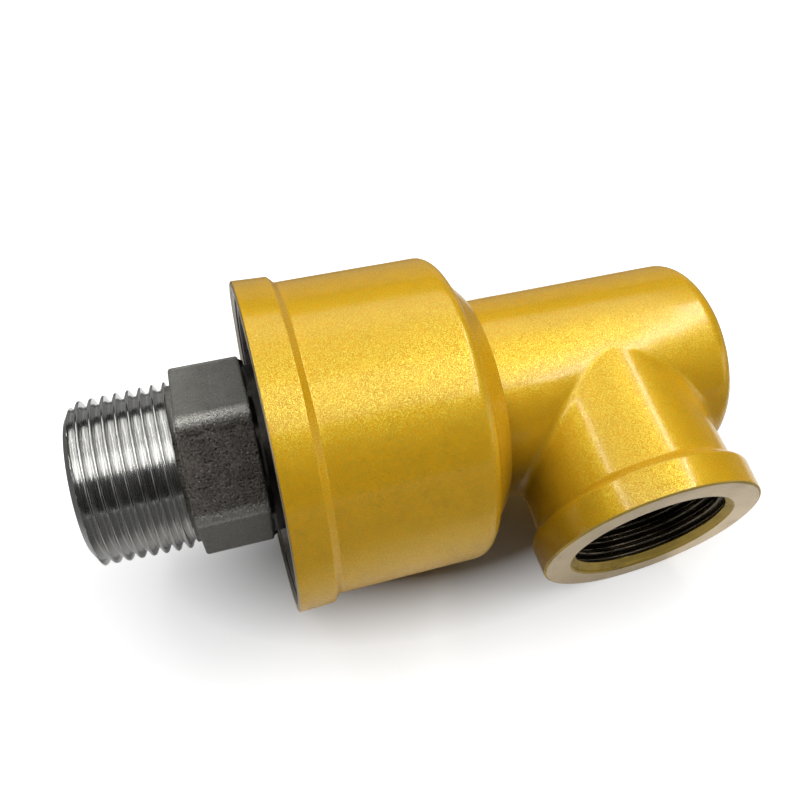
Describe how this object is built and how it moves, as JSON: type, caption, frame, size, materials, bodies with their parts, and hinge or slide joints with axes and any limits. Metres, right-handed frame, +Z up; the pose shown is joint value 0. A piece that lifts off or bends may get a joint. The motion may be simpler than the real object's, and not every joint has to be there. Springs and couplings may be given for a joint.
{
  "type": "rotary union",
  "caption": "Rotary union: a threaded rotor with a wrench hexagon turns on two ball bearings in a cast housing, sealed by a spring-loaded carbon ring, with a threaded side port.",
  "frame": {"origin": "On the rotor's axis, in the plane where the pipe thread ends, 0.9 mm in front of the hexagon.", "axes": "X runs along the rotor's axis: -X is the way out of the thread, +X points to the closed tail. +Z is up as the union lies in the picture, and the side port points to -Y and leans 19.05 degrees downwards, so that its collar reaches as low as the housing's rim."},
  "size_m": [0.1298, 0.0771, 0.0672],
  "materials": {
    "gold_paint": "gold metallic paint with fine flake over an iron casting",
    "turned_steel": "bright turned thread and forged grey hexagon",
    "dark_steel": "blackened steel",
    "bearing_steel": "ground and polished bearing steel",
    "cage_brass": "pressed brass",
    "seal_rubber": "black nitrile rubber",
    "carbon": "lapped carbon graphite",
    "carrier_brass": "turned brass",
    "spring_steel": "bright spring wire"
  },
  "bodies": {
    "housing_body": {"housing": "gold_paint", "front_cover": "dark_steel", "cover_o_ring": "seal_rubber", "cover_circlip": "dark_steel", "lip_seal": "seal_rubber", "lip_seal_garter_spring": "spring_steel", "outer_spacer_ring": "bearing_steel", "seal_keys": "bearing_steel", "seal_spring": "spring_steel", "spring_seat_washer": "bearing_steel", "front_bearing_outer_ring": "bearing_steel", "front_bearing_front_shield": "dark_steel", "front_bearing_rear_shield": "dark_steel", "rear_bearing_outer_ring": "bearing_steel", "rear_bearing_front_shield": "dark_steel", "rear_bearing_rear_shield": "dark_steel"},
    "rotor_body": {"rotor": "turned_steel", "inner_spacer_sleeve": "bearing_steel", "shaft_circlip": "dark_steel", "mating_ring": "bearing_steel", "front_bearing_inner_ring": "bearing_steel", "rear_bearing_inner_ring": "bearing_steel"},
    "front_cage_body": {"front_bearing_balls": "bearing_steel", "front_bearing_cage": "cage_brass"},
    "rear_cage_body": {"rear_bearing_balls": "bearing_steel", "rear_bearing_cage": "cage_brass"},
    "seal_body": {"carbon_seal_ring": "carbon", "seal_carrier": "carrier_brass", "carrier_o_ring": "seal_rubber"}
  },
  "joints": [
    {"name": "rotor_spin", "type": "hinge", "parent": "housing_body", "child": "rotor_body", "pos_m": [0.037, 0, 0], "axis": [1, 0, 0], "continuous": true},
    {"name": "front_cage_spin", "type": "hinge", "parent": "housing_body", "child": "front_cage_body", "pos_m": [0.0285, 0, 0], "axis": [1, 0, 0], "continuous": true},
    {"name": "rear_cage_spin", "type": "hinge", "parent": "housing_body", "child": "rear_cage_body", "pos_m": [0.0455, 0, 0], "axis": [1, 0, 0], "continuous": true},
    {"name": "seal_slide", "type": "slide", "parent": "housing_body", "child": "seal_body", "axis": [1, 0, 0], "range_m": [0, 0.0015], "stiffness_N_per_m": 1500, "springref_m": -0.006, "deforming": ["seal_spring"]}
  ],
  "couplings": [
    {"joint": "front_cage_spin", "follows": "rotor_spin", "ratio": 0.416},
    {"joint": "rear_cage_spin", "follows": "rotor_spin", "ratio": 0.416}
  ]
}
